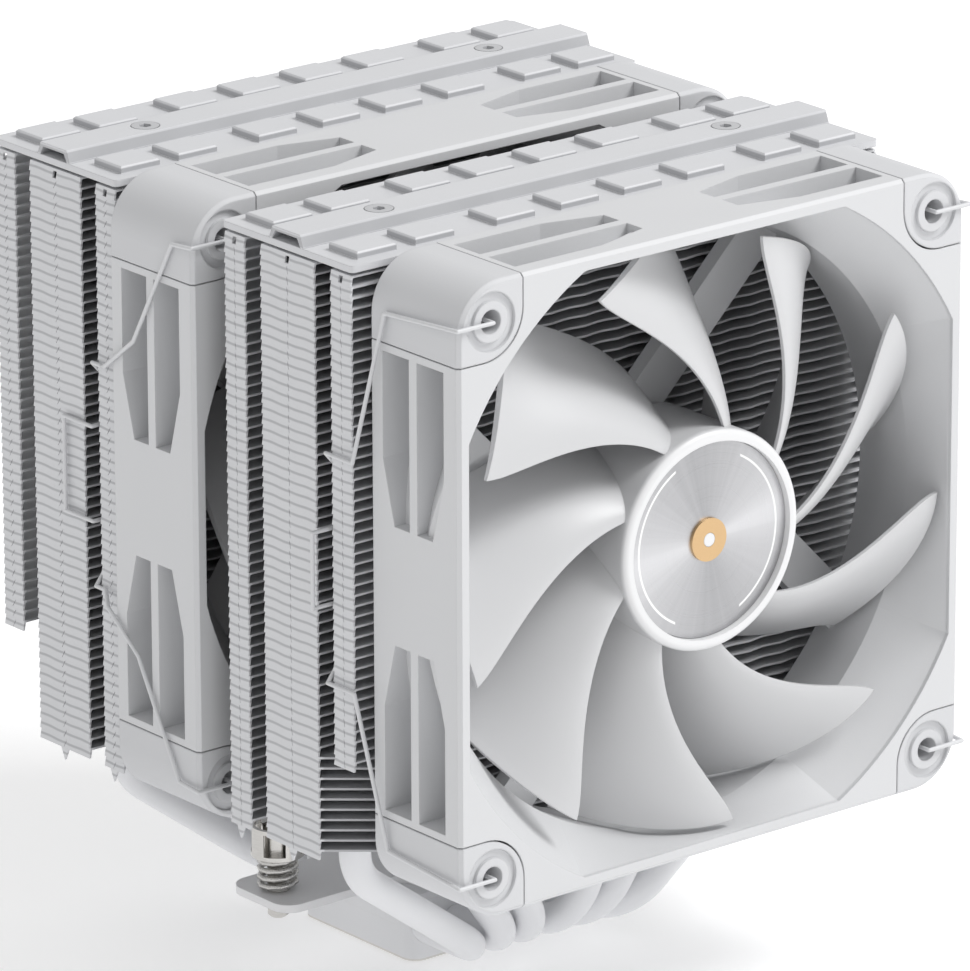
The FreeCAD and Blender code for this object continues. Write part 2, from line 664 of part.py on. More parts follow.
def top_strip():
    """Folded channel: a flat top with two sloping sides, open at both ends."""
    profile = [
        (-STRIP_BASE_HALF, COVER_TOP_Z), (-STRIP_TOP_HALF, STRIP_TOP_Z),
        (STRIP_TOP_HALF, STRIP_TOP_Z), (STRIP_BASE_HALF, COVER_TOP_Z),
        (STRIP_BASE_HALF - STRIP_SHEET, COVER_TOP_Z),
        (STRIP_TOP_HALF - STRIP_SHEET, STRIP_TOP_Z - STRIP_SHEET),
        (-STRIP_TOP_HALF + STRIP_SHEET, STRIP_TOP_Z - STRIP_SHEET),
        (-STRIP_BASE_HALF + STRIP_SHEET, COVER_TOP_Z),
    ]
    corners = [Vec(-FIN_WIDTH / 2, y, z) for y, z in profile]
    face = Part.Face(Part.makePolygon(corners + corners[:1]))
    strip = face.extrude(Vec(FIN_WIDTH, 0, 0))
    for side in (-1, 1):
        strip = strip.fuse(rod(SMALL_HEAD_RADIUS + STRIP_SHEET,
                               STRIP_TOP_Z - STRIP_SHEET - SMALL_HEAD_HEIGHT,
                               STRIP_TOP_Z - STRIP_SHEET, side * STRIP_SCREW_X))
        strip = strip.cut(countersunk_hole(side * STRIP_SCREW_X, 0, STRIP_TOP_Z, COVER_TOP_Z))
    return strip.removeSplitter()


def make_tops():
    cover = top_cover()
    strip = top_strip()
    screws = [countersunk_screw(side * STRIP_SCREW_X, 0, STRIP_TOP_Z, STRIP_SCREW_LENGTH)
              for side in (-1, 1)]
    for name, y in TOWERS.items():
        save(name + "_top_cover", moved(cover, y=y))
        save(name + "_top_bar", moved(strip, y=y))
        save(name + "_bar_screws", [moved(screw, y=y) for screw in screws])


# ---------------------------------------------------------------- fans
# A fan is drawn lying down: x across, y up the fan, and the front face at z = 0, so that a
# depth d behind the front face is z = -d. place_fan then stands it up.

def place_fan(shape, front_y):
    copy = shape.copy()
    copy.rotate(Vec(0, 0, 0), X_AXIS, 90)
    copy.translate(Vec(0, front_y, FAN_MIDDLE_Z))
    return copy


def disc_between(radius, front, back):
    return rod(radius, -back, -front)


def ring_between(outer, inner, front, back):
    return tube(outer, inner, -back, -front)


def fan_block(width):
    """Full outer block of a fan, with rounded corners and bevelled rims."""
    block = rounded_box(width, FAN_HEIGHT, -FAN_DEPTH, 0, FAN_CORNER_RADIUS)
    rims = [e for e in block.Edges if e.BoundBox.ZMax - e.BoundBox.ZMin < 0.01]
    return block.makeChamfer(FAN_EDGE_CHAMFER, rims)


def corner_zone(width, size, front, back):
    """Room of a corner pad at the top right corner, with its rounded inner corner."""
    x0 = width / 2 - size
    y0 = FAN_HEIGHT / 2 - size
    zone = box(x0, width / 2 + 1, y0, FAN_HEIGHT / 2 + 1, -back, -front)
    for edge in zone.Edges:
        upright = abs(edge.tangentAt(edge.FirstParameter).z) > 0.9
        middle = edge.CenterOfMass
        if upright and abs(middle.x - x0) < 0.01 and abs(middle.y - y0) < 0.01:
            return zone.makeFillet(PAD_INNER_RADIUS, [edge])
    raise ValueError("corner pad has no inner corner")


def tongue_zone(width):
    """Room of a corner pad's tongue, which locks it in the frame and stays out of sight."""
    front, back = PAD_TONGUE_DEPTHS
    zone = corner_zone(width, PAD_SIZE + PAD_TONGUE, front, back)
    return zone.common(box(0, width / 2 - PAD_TONGUE_COVER, 0, FAN_HEIGHT / 2 - PAD_TONGUE_COVER,
                           -back, -front))


def four_corners(shape):
    right = [shape, mirrored_y(shape)]
    return right + [mirrored_x(s) for s in right]


def duct_wire(width, depth, radius=None):
    """Front opening of four lines and four arcs, or the matching eight arcs of a circle."""
    half_x = width / 2 - MOUTH_RIM
    half_y = FAN_HEIGHT / 2 - MOUTH_RIM
    low = math.sqrt(max(MOUTH_RADIUS ** 2 - half_x ** 2, 1.0))
    reach = math.sqrt(MOUTH_RADIUS ** 2 - half_y ** 2)
    a = math.degrees(math.atan2(low, half_x))
    b = math.degrees(math.atan2(half_y, reach))
    angles = [-a, a, b, 180 - b, 180 - a, 180 + a, 180 + b, 360 - b]
    edges = []
    for index, start in enumerate(angles):
        end = angles[(index + 1) % 8]
        if end < start:
            end += 360
        size = radius or MOUTH_RADIUS
        p0 = Vec(size * math.cos(math.radians(start)), size * math.sin(math.radians(start)), -depth)
        p1 = Vec(size * math.cos(math.radians(end)), size * math.sin(math.radians(end)), -depth)
        mid = math.radians((start + end) / 2)
        pm = Vec(size * math.cos(mid), size * math.sin(mid), -depth)
        if radius is None and index % 2 == 0:
            edges.append(Part.LineSegment(p0, p1).toShape())
        else:
            edges.append(Part.Arc(p0, pm, p1).toShape())
    return Part.Wire(edges)


def duct(width):
    mouth = Part.Face(duct_wire(width, -1.0)).extrude(Vec(0, 0, -1.0 - MOUTH_STRAIGHT))
    funnel = Part.makeLoft([duct_wire(width, MOUTH_STRAIGHT),
                            duct_wire(width, THROAT_START, THROAT_RADIUS)], True, True)
    throat = disc_between(THROAT_RADIUS, THROAT_START, FAN_DEPTH + 1)
    return mouth.fuse([funnel, throat])


def duct_envelope(width):
    """The duct with its wall, which side pockets must not reach."""
    cone = Part.makeCone(THROAT_RADIUS + DUCT_WALL, MOUTH_RADIUS + DUCT_WALL, THROAT_START,
                         Vec(0, 0, -THROAT_START), Z_AXIS)
    barrel = disc_between(THROAT_RADIUS + DUCT_WALL, THROAT_START, FAN_DEPTH)
    half_x = width / 2 - MOUTH_RIM + DUCT_WALL
    half_y = FAN_HEIGHT / 2 - MOUTH_RIM + DUCT_WALL
    limits = box(-half_x, half_x, -half_y, half_y, -FAN_DEPTH, 0)
    return cone.fuse(barrel).common(limits)


def side_pockets(half_along, half_out):
    """Two pairs of tapered pockets in the side at +y, along x."""
    outer = half_along - PAD_SIZE - POCKET_MARGIN
    inner = outer - POCKET_LENGTH
    knee = inner + POCKET_TAPER_LENGTH
    pockets = []
    for direction in (-1, 1):
        near = POCKET_MIDDLE + direction * POCKET_RIB / 2
        far = near + direction * POCKET_WIDTH
        corners = [(outer, near), (outer, far), (knee, far),
                   (inner, far - direction * POCKET_TAPER), (inner, near)]
        for side in (-1, 1):
            points = [Vec(side * x, half_out - POCKET_DEPTH, -depth) for x, depth in corners]
            face = Part.Face(Part.makePolygon(points + points[:1]))
            pockets.append(face.extrude(Vec(0, POCKET_DEPTH + 1, 0)))
    return pockets


def all_pockets(width):
    top = side_pockets(width / 2, FAN_HEIGHT / 2)
    side = [turned(p, 90) for p in side_pockets(FAN_HEIGHT / 2, width / 2)]
    pockets = top + side + [turned(p, 180) for p in top + side]
    return Part.makeCompound(pockets)


def fan_struts():
    struts = []
    for number in range(4):
        arm = box(0, THROAT_RADIUS + DUCT_WALL / 2, STRUT_OFFSET - STRUT_WIDTH / 2,
                  STRUT_OFFSET + STRUT_WIDTH / 2, -STRUT_BACK, -STRUT_FRONT)
        struts.append(turned(arm, STRUT_ANGLE + 90 * number))
    reach = disc_between(THROAT_RADIUS + DUCT_WALL / 2, STRUT_FRONT, STRUT_BACK)
    hollow = disc_between(HUB_RADIUS - CUP_WALL / 2, STRUT_FRONT - 1, STRUT_BACK + 1)
    return [strut.common(reach).cut(hollow) for strut in struts]


def fan_cup():
    wall = ring_between(HUB_RADIUS, HUB_RADIUS - CUP_WALL, CUP_FRONT, FAN_DEPTH)
    plate = disc_between(HUB_RADIUS, FAN_DEPTH - CUP_PLATE, FAN_DEPTH)
    return wall.fuse(plate)


def fan_frame(width):
    frame = fan_block(width).cut(duct(width))
    pockets = all_pockets(width).cut(duct_envelope(width))
    frame = frame.cut(pockets)
    zones = four_corners(corner_zone(width, PAD_SIZE + PAD_SEAM, -1, FAN_DEPTH + 1))
    zones += four_corners(tongue_zone(width))
    for zone in zones:
        frame = frame.cut(zone)
    return frame.fuse(fan_struts() + [fan_cup()]).removeSplitter()


def corner_pad(width):
    zone = corner_zone(width, PAD_SIZE, -1, FAN_DEPTH + 1).fuse(tongue_zone(width))
    pad = fan_block(width).common(zone)
    x = width / 2 - FAN_HOLE_INSET
    y = FAN_HEIGHT / 2 - FAN_HOLE_INSET
    hole = moved(disc_between(FAN_HOLE_RADIUS, -1, FAN_DEPTH + 1), x, y)
    ring = ring_between(PAD_RING_RADIUS, PAD_RING_STEP, -1, PAD_RING_DEPTH)
    back_ring = ring_between(PAD_RING_RADIUS, PAD_RING_STEP, FAN_DEPTH - PAD_RING_DEPTH,
                             FAN_DEPTH + 1)
    pad = pad.cut(hole).cut(moved(ring, x, y)).cut(moved(back_ring, x, y))
    return pad.removeSplitter()


def blade_point(radius, along, side):
    """A point of a blade: along runs 0 to 1 from front to back edge, side is -1 or 1."""
    def middle(t):
        reach = (BLADE_TIP_RADIUS - radius) / (BLADE_TIP_RADIUS - HUB_RADIUS)
        sweep = BLADE_SWEEP_DEG * max(reach, 0.0) ** BLADE_SWEEP_POWER
        angle = math.radians(-sweep - BLADE_WRAP_DEG * t)
        depth = BLADE_FRONT + (BLADE_BACK - BLADE_FRONT) * max(t, 0.0) ** BLADE_DEPTH_POWER
        return angle, depth
    angle, depth = middle(along)
    step = 1e-3
    angle_a, depth_a = middle(min(along + step, 1.0))
    angle_b, depth_b = middle(max(along - step, 0.0))
    run = radius * (angle_a - angle_b)
    drop = depth_a - depth_b
    length = math.hypot(run, drop)
    bulge = math.sin(math.pi * (BLADE_EDGE_START + (1 - 2 * BLADE_EDGE_START) * along))
    thickness = BLADE_THICKNESS * (BLADE_EDGE_SHARE + (1 - BLADE_EDGE_SHARE) * bulge)
    shift = side * thickness / 2
    angle += shift * drop / length / radius
    depth -= shift * run / length
    return Vec(radius * math.cos(angle), radius * math.sin(angle), -depth)


def blade():
    """One sickle blade: two curved faces closed by ruled edges."""
    inner = HUB_RADIUS - BLADE_ROOT_DEPTH
    faces = []
    skins = []
    for side in (-1, 1):
        grid = []
        for i in range(BLADE_RADIAL_STEPS + 1):
            radius = inner + (BLADE_TIP_RADIUS - inner) * i / BLADE_RADIAL_STEPS
            grid.append([blade_point(radius, j / BLADE_CHORD_STEPS, side)
                         for j in range(BLADE_CHORD_STEPS + 1)])
        skin = Part.BSplineSurface()
        skin.interpolate(grid)
        skins.append(skin)
        faces.append(skin.toShape())
    for pick in ("u_first", "u_last", "v_first", "v_last"):
        curves = []
        for skin in skins:
            u0, u1, v0, v1 = skin.bounds()
            if pick == "u_first":
                curves.append(skin.uIso(u0).toShape())
            elif pick == "u_last":
                curves.append(skin.uIso(u1).toShape())
            elif pick == "v_first":
                curves.append(skin.vIso(v0).toShape())
            else:
                curves.append(skin.vIso(v1).toShape())
        faces.append(Part.makeRuledSurface(curves[0], curves[1]))
    shell = Part.makeShell(faces)
    shell.sewShape()
    solid = Part.makeSolid(shell)
    if solid.Volume < 0:
        solid.reverse()
    return solid


def fan_rotor():
    floor = HUB_FRONT + HUB_FACE
    inside = HUB_RADIUS - HUB_WALL
    hub = disc_between(HUB_RADIUS, HUB_FRONT, HUB_BACK)
    rim = [e for e in hub.Edges if e.BoundBox.ZMin > -HUB_FRONT - 0.01]
    hub = hub.makeFillet(HUB_RIM_ROUND, rim)
    hub = hub.cut(disc_between(DISC_RADIUS + DISC_CLEARANCE, -1, floor))
    hub = hub.cut(disc_between(inside, floor + HUB_PLATE, HUB_BACK + 1))
    pip = disc_between(PIP_RADIUS, floor - DISC_THICKNESS - RING_THICKNESS, floor + SHAFT_SEAT)
    boss = disc_between(HUB_BOSS_RADIUS, floor, floor + HUB_PLATE + BOSS_LENGTH)
    hub = hub.fuse([pip, boss])
    hub = hub.cut(disc_between(SHAFT_RADIUS, floor + SHAFT_SEAT, HUB_BACK))
    blades = [turned(blade(), BLADE_FIRST_DEG + number * 360 / BLADE_COUNT)
              for number in range(BLADE_COUNT)]
    return hub.fuse(blades).removeSplitter()


def make_fan(name, width, front_y):
    def put(suffix, shape):
        shapes = shape if isinstance(shape, list) else [shape]
        save(name + "_" + suffix, [place_fan(s, front_y) for s in shapes])

    put("frame", fan_frame(width))
    put("corner_pads", four_corners(corner_pad(width)))
    put("rotor", fan_rotor())

    floor = HUB_FRONT + HUB_FACE
    disc = ring_between(DISC_RADIUS, PIP_RADIUS + PIP_CLEARANCE, floor - DISC_THICKNESS, floor)
    put("hub_disc", disc)
    ring = ring_between(RING_RADIUS, PIP_RADIUS + PIP_CLEARANCE,
                        floor - DISC_THICKNESS - RING_THICKNESS, floor - DISC_THICKNESS)
    put("hub_ring", ring)

    cavity = floor + HUB_PLATE
    yoke_outer = HUB_RADIUS - HUB_WALL - YOKE_GAP
    yoke = disc_between(yoke_outer, cavity, cavity + YOKE_WALL + MAGNET_LENGTH)
    yoke = yoke.cut(disc_between(yoke_outer - YOKE_WALL, cavity + YOKE_WALL, HUB_BACK + 1))
    yoke = yoke.cut(disc_between(HUB_BOSS_RADIUS + YOKE_GAP, 0, HUB_BACK + 1))
    put("steel_yoke", yoke)
    magnet_outer = yoke_outer - YOKE_WALL - YOKE_GAP
    magnet_inner = magnet_outer - MAGNET_WALL
    put("magnet", ring_between(magnet_outer, magnet_inner, cavity + YOKE_WALL,
                               cavity + YOKE_WALL + MAGNET_LENGTH))

    cup_floor = FAN_DEPTH - CUP_PLATE
    put("shaft", disc_between(SHAFT_RADIUS, floor + SHAFT_SEAT, cup_floor - SHAFT_END_GAP))
    bearing_front = cavity + BOSS_LENGTH + BEARING_GAP
    put("bearing", ring_between(BEARING_RADIUS, SHAFT_RADIUS + SHAFT_RUNNING_GAP,
                                bearing_front, cup_floor))

    stator_outer = magnet_inner - AIR_GAP
    stator_back = STATOR_FRONT + STATOR_LENGTH
    shoe_inner = stator_outer - STATOR_SHOE
    core = disc_between(STATOR_HUB_RADIUS, STATOR_FRONT, stator_back)
    shoes = ring_between(stator_outer, shoe_inner, STATOR_FRONT, stator_back)
    coils = []
    for number in range(4):
        arm = box(0, stator_outer - STATOR_SHOE / 2, -STATOR_ARM_WIDTH / 2, STATOR_ARM_WIDTH / 2,
                  -stator_back, -STATOR_FRONT)
        core = core.fuse(turned(arm, 90 * number))
        gap_half = (90 - STATOR_SHOE_DEG) / 2
        a = math.radians(45 - gap_half)
        b = math.radians(45 + gap_half)
        far = stator_outer * 2
        wedge = prism([(0, 0), (far * math.cos(a), far * math.sin(a)),
                       (far * math.cos(b), far * math.sin(b))],
                      -stator_back - 1, -STATOR_FRONT + 1)
        shoes = shoes.cut(turned(wedge, 90 * number))
        hole_half = STATOR_ARM_WIDTH / 2 + COIL_GAP
        outer_half = hole_half + COIL_WALL
        coil = box(STATOR_HUB_RADIUS + COIL_GAP, shoe_inner - COIL_SHOE_GAP, -outer_half,
                   outer_half, -stator_back - COIL_GAP - COIL_WALL,
                   -STATOR_FRONT + COIL_GAP + COIL_WALL)
        coil = coil.cut(box(0, stator_outer, -hole_half, hole_half, -stator_back - COIL_GAP,
                            -STATOR_FRONT + COIL_GAP))
        coils.append(turned(coil, 90 * number))
    core = core.fuse(shoes).cut(disc_between(BEARING_RADIUS, 0, FAN_DEPTH)).removeSplitter()
    put("stator", core)
    put("coils", coils)
    put("circuit_board", ring_between(BOARD_RADIUS, BEARING_RADIUS + COIL_GAP,
                                      cup_floor - BOARD_THICKNESS, cup_floor))


# ---------------------------------------------------------------- wire clips

def wire_clip(fan, width, front_y, tower_y):
    """Left clip: bent wire from the top hole round the fan to the fins and down to the other."""
    hole_x = -(width / 2 - FAN_HOLE_INSET)
    hole_z = FAN_HEIGHT / 2 - FAN_HOLE_INSET
    clear = WIRE_RADIUS + WIRE_GAP
    side_x = -(width / 2 + clear)
    fin_side = -(FIN_WIDTH / 2 + clear)
    hook_y = tower_y - NARROW_TAB_START + clear
    notch_y = tower_y - NARROW_TAB_START + CLIP_NOTCH_GAP
    notch_x = -(FIN_WIDTH / 2 - CLIP_NOTCH_INSET)
    handle_half, handle_along, handle_out = CLIP_HANDLES[fan]
    fin_bend_y = tower_y - FIN_DEPTH / 2 + CLIP_FIN_BEND[fan]
    half_path = [
        (hole_x, front_y + CLIP_STUB, hole_z),
        (hole_x, front_y - clear, hole_z),
        (side_x, front_y - clear, hole_z),
    ]
    for depth, drop in CLIP_SIDE_BENDS[fan]:
        half_path.append((side_x, front_y + depth, hole_z - drop))
    half_path += [
        (fin_side, fin_bend_y, CLIP_HOOK_HEIGHT),
        (fin_side, hook_y, CLIP_HOOK_HEIGHT),
        (notch_x, notch_y, CLIP_HOOK_HEIGHT - CLIP_HOOK_RISE),
        (notch_x, notch_y, handle_half),
        (fin_side - handle_out, notch_y, handle_half),
    ]
    if handle_along:
        half_path.append((fin_side - handle_out, notch_y + handle_along, handle_half))
    full = half_path + [(x, y, -z) for x, y, z in reversed(half_path)]
    points = [Vec(x, y, z + FAN_MIDDLE_Z) for x, y, z in full]
    return wire_solid(points)


def wire_solid(points):
    """Wire with rounded corners: straight rods joined by balls."""
    wire = None
    for start, end in zip(points, points[1:]):
        run = end - start
        piece = Part.makeCylinder(WIRE_RADIUS, run.Length, start, run)
        wire = piece if wire is None else wire.fuse(piece)
    for corner in points[1:-1]:
        wire = wire.fuse(Part.makeSphere(WIRE_RADIUS, corner))
    return wire


def make_clips():
    for fan, (width, front_y) in FANS.items():
        left = wire_clip(fan, width, front_y, TOWERS[CLIP_TOWERS[fan]])
        place = fan.replace("_fan", "")
        save(place + "_clip_left", left)
        save(place + "_clip_right", mirrored_x(left))


# ---------------------------------------------------------------- build

make_base()
make_pipes()
make_mounting_bar()
make_mounting_screws()
make_fin_towers()
make_tops()
for fan_name, (fan_width, fan_front_y) in FANS.items():
    make_fan(fan_name, fan_width, fan_front_y)
make_clips()
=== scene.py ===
import bpy
import math
from mathutils import Matrix, Vector


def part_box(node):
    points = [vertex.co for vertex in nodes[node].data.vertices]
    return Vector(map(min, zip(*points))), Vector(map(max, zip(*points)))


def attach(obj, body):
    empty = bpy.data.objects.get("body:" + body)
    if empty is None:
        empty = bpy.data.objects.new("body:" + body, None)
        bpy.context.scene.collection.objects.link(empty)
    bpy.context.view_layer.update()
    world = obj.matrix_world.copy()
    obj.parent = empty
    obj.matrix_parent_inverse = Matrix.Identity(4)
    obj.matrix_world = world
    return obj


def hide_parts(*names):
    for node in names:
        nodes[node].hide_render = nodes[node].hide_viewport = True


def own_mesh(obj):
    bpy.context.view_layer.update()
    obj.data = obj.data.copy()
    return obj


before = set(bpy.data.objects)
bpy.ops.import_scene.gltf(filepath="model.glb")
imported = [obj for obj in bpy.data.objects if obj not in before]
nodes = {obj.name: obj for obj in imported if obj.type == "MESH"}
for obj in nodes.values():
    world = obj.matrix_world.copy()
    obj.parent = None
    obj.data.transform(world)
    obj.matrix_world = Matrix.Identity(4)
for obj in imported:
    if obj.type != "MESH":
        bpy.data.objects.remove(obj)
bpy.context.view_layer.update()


# ---------------------------------------------------------------- camera
# The camera stands in front of the cooler, to its left and a little above the top, far off
# with a long lens, so that the towers' edges stay nearly parallel.

VIEW_AZIMUTH = math.radians(-39.3)
VIEW_ELEVATION = math.radians(18.56)
VIEW_ROLL = math.radians(-0.19)
VIEW_DISTANCE = 1.704
VIEW_TARGET = Vector((0.01168, 0.0, 0.08395))
LENS_MM = 333.7
SENSOR_MM = 36.0

camera_data = bpy.data.cameras.new("studio_camera")
camera_data.sensor_width = SENSOR_MM
camera_data.lens = LENS_MM
camera_data.clip_start = 0.1
camera_data.clip_end = 50.0
camera = bpy.data.objects.new("studio_camera", camera_data)
bpy.context.scene.collection.objects.link(camera)
towards_camera = Vector((math.sin(VIEW_AZIMUTH) * math.cos(VIEW_ELEVATION),
                         -math.cos(VIEW_AZIMUTH) * math.cos(VIEW_ELEVATION),
                         math.sin(VIEW_ELEVATION)))
camera.location = VIEW_TARGET + towards_camera * VIEW_DISTANCE
camera.rotation_mode = "QUATERNION"
turn = (-towards_camera).to_track_quat("-Z", "Y")
camera.rotation_quaternion = turn @ Matrix.Rotation(VIEW_ROLL, 3, "Z").to_quaternion()
bpy.context.scene.camera = camera


# ---------------------------------------------------------------- floor and light
# A pale table top that runs out of sight and glows a little, as a sheet lit from below
# does, one soft lamp high over the front right corner, and even light from the white room.

FLOOR_SIZE = 30.0
FLOOR_Z = -0.0002            # just under the cold plate
FLOOR_COLOUR = (0.76, 0.76, 0.762)
FLOOR_CLOUDS = 6.0           # per metre
FLOOR_CLOUD_SHADE = 0.985
FLOOR_GLOW = 0.40
WHITE_GLOW = (1.0, 1.0, 1.0, 1.0)
ROOM_COLOUR = (1.0, 1.0, 1.0, 1.0)
ROOM_STRENGTH = 0.62
KEY_PLACE = (0.85, -0.95, 1.55)
KEY_AIM = (0.0, 0.0, 0.08)
KEY_SIZE = 0.7
KEY_WATTS = 23.0


def deselect_all():
    for thing in bpy.context.selected_objects:
        thing.select_set(False)


def new_object(name):
    """Names the object that the last operator made, and its mesh."""
    made = bpy.context.object
    made.name = name
    made.data.name = name
    return made


X, Y, Z = range(3)
MIX_LOW, MIX_HIGH, MIX_RESULT = 6, 7, 2      # a mix node's sockets for colours


class Signal:
    """A shader socket that can be added to, scaled and subtracted like a number."""

    def __init__(self, finish, socket):
        self.finish = finish
        self.socket = socket

    def maths(self, operation, second=0.0):
        """This value put through a maths operation, with a second value if it takes one."""
        return self.finish.maths(operation, self, second)

    def __add__(self, other):
        return self.maths("ADD", other)

    __radd__ = __add__

    def __mul__(self, other):
        return self.maths("MULTIPLY", other)

    __rmul__ = __mul__

    def __sub__(self, other):
        return self.maths("SUBTRACT", other)

    def __rsub__(self, other):
        return self.finish.maths("SUBTRACT", other, self)

    def __truediv__(self, other):
        return self.maths("DIVIDE", other)

    def __pow__(self, other):
        return self.maths("POWER", other)

    def __abs__(self):
        return self.maths("ABSOLUTE")

    def above(self, edge, softness):
        """0 below the edge and 1 above it, over a soft step."""
        return self.finish.node("ShaderNodeMapRange", {"interpolation_type": "SMOOTHSTEP"},
                                {0: self, 1: edge - softness / 2, 2: edge + softness / 2})


class Finish:
    """One material: its shader and the nodes that vary it over the piece."""

    def __init__(self, name, colour, roughness, **constants):
        self.material = bpy.data.materials.new(name)
        self.material.use_nodes = True
        self.tree = self.material.node_tree
        self.shader = self.tree.nodes["Principled BSDF"]
        self.material.diffuse_color = (*colour, 1.0)
        self.set("Base Color", (*colour, 1.0))
        self.set("Roughness", roughness)
        for word, value in constants.items():
            self.set(word.replace("_", " ").title().replace("Ior", "IOR"), value)

    def set(self, name, value):
        """Gives one of the shader's sockets a constant or a signal."""
        self.feed(value, self.shader.inputs[name])

    def feed(self, value, socket):
        if isinstance(value, Signal):
            self.tree.links.new(value.socket, socket)
        else:
            socket.default_value = value

    def node(self, kind, settings=None, inputs=None, output=0):
        """Adds a node with its settings first and then its socket values or links."""
        made = self.tree.nodes.new(kind)
        for name, value in (settings or {}).items():
            setattr(made, name, value)
        for name, value in (inputs or {}).items():
            self.feed(value, made.inputs[name])
        return Signal(self, made.outputs[output])

    def maths(self, operation, first, second=0.0):
        return self.node("ShaderNodeMath", {"operation": operation}, {0: first, 1: second})

    def place(self, centre=(0.0, 0.0, 0.0), scale=(1.0, 1.0, 1.0)):
        """Object coordinates, measured from a centre and scaled."""
        where = self.node("ShaderNodeTexCoord", output="Object")
        moved = self.node("ShaderNodeVectorMath", {"operation": "SUBTRACT"}, {0: where, 1: centre})
        return self.node("ShaderNodeMapping", None, {"Vector": moved, "Scale": scale})

    def coordinate(self, axis, where=None):
        """One coordinate of a place on the surface."""
        return self.node("ShaderNodeSeparateXYZ", None, {0: where or self.place()}, output=axis)

    def noise(self, per_metre, where=None, detail=2.0):
        return self.node("ShaderNodeTexNoise", None,
                         {"Vector": where or self.place(), "Scale": per_metre,
                          "Detail": detail, "Roughness": 0.5})

    def line_noise(self, where, per_unit, detail, roughness=0.5):
        """Noise that varies with a single value, such as an angle."""
        return self.node("ShaderNodeTexNoise", {"noise_dimensions": "1D"},
                         {"W": where, "Scale": per_unit, "Detail": detail,
                          "Roughness": roughness})

    def mix(self, amount, low, high):
        return self.node("ShaderNodeMix", {"data_type": "RGBA"},
                         {0: amount, MIX_LOW: low, MIX_HIGH: high}, output=MIX_RESULT)

    def clouded(self, colour, per_metre, detail, darkest, lightest):
        """A colour with faint clouds in it."""
        return self.mix(self.noise(per_metre, detail=detail), tinted(colour, darkest),
                        tinted(colour, lightest))

    def bump(self, height, distance, over=None):
        inputs = {"Height": height, "Distance": distance, "Strength": 1.0}
        if over is not None:
            inputs["Normal"] = over
        return self.node("ShaderNodeBump", None, inputs)

    def soft_edge(self, radius):
        """Surface direction that rounds off the sharp edges."""
        return self.node("ShaderNodeBevel", {"samples": 4}, {"Radius": radius})

    def put_on(self, piece):
        """Gives the piece this finish in every slot."""
        if not piece.material_slots:
            piece.data.materials.append(self.material)
        for slot in piece.material_slots:
            slot.material = self.material


def tinted(colour, factor):
    return tuple(min(1.0, part * factor) for part in colour[:3]) + (1.0,)


deselect_all()
bpy.ops.mesh.primitive_plane_add(size=FLOOR_SIZE, location=(0.0, 0.0, FLOOR_Z))
floor = new_object("floor")
table = Finish("pale_table_top", FLOOR_COLOUR, roughness=0.65)
table.set("Base Color", table.mix(table.noise(FLOOR_CLOUDS), tinted(FLOOR_COLOUR, 1.0),
                                  tinted(FLOOR_COLOUR, FLOOR_CLOUD_SHADE)))
table.set("Emission Color", WHITE_GLOW)
table.set("Emission Strength", FLOOR_GLOW)
table.put_on(floor)

room = bpy.data.worlds.new("white_room")
room.use_nodes = True
room.node_tree.nodes["Background"].inputs["Color"].default_value = ROOM_COLOUR
room.node_tree.nodes["Background"].inputs["Strength"].default_value = ROOM_STRENGTH
bpy.context.scene.world = room
bpy.context.scene.view_settings.view_transform = "Standard"


def soft_lamp(name, place, aim, size, power):
    """A square softbox that points at a spot."""
    lamp_data = bpy.data.lights.new(name, "AREA")
    lamp_data.size = size
    lamp_data.energy = power
    lamp = bpy.data.objects.new(name, lamp_data)
    bpy.context.scene.collection.objects.link(lamp)
    lamp.location = place
    direction = Vector(aim) - Vector(place)
    lamp.rotation_mode = "QUATERNION"
    lamp.rotation_quaternion = direction.to_track_quat("-Z", "Y")


soft_lamp("key_lamp", KEY_PLACE, KEY_AIM, KEY_SIZE, KEY_WATTS)


# ---------------------------------------------------------------- base plate and clamp block
# A copper plate with half-round grooves, milled and nickel plated underneath, and an
# aluminium block that closes the grooves over the pipes, both sprayed white outside.

# a lighter white than the towers' paint: painted light for the shade under the towers
BASE_LIGHTENED_WHITE = (0.82, 0.825, 0.84)
PLATE_NICKEL = (0.72, 0.70, 0.67, 1.0)
NICKEL_HEIGHT = 0.0004       # the plate's sides are sprayed from here up
NICKEL_FADE = 0.0002
MILL_MARK_SCALE = (1.0, 0.02, 1.0)
MILL_MARK_HEIGHT = 0.000008
EDGE_RADIUS = 0.00025
PAINT_CLOUDS = 90.0          # per metre
PAINT_DARKEST = 0.97
PAINT_LIGHTEST = 1.02
PEEL_PER_METRE = 2600.0
PEEL_HEIGHT = 0.000012


def spray_paint(name, colour, roughness):
    """Satin paint on metal: faint cloudiness, fine orange peel and softened edges."""
    paint = Finish(name, colour, roughness, coat_weight=0.12, coat_roughness=0.35)
    paint.skin = paint.clouded(colour, PAINT_CLOUDS, 3.0, PAINT_DARKEST, PAINT_LIGHTEST)
    paint.set("Base Color", paint.skin)
    paint.set("Roughness", roughness - 0.04 + 0.08 * paint.noise(400.0))
    paint.set("Normal", paint.bump(paint.noise(PEEL_PER_METRE), PEEL_HEIGHT,
                                   over=paint.soft_edge(EDGE_RADIUS)))
    return paint


block_paint = spray_paint("sprayed_block", BASE_LIGHTENED_WHITE, roughness=0.42)
block_paint.put_on(nodes["pipe_clamp_block"])

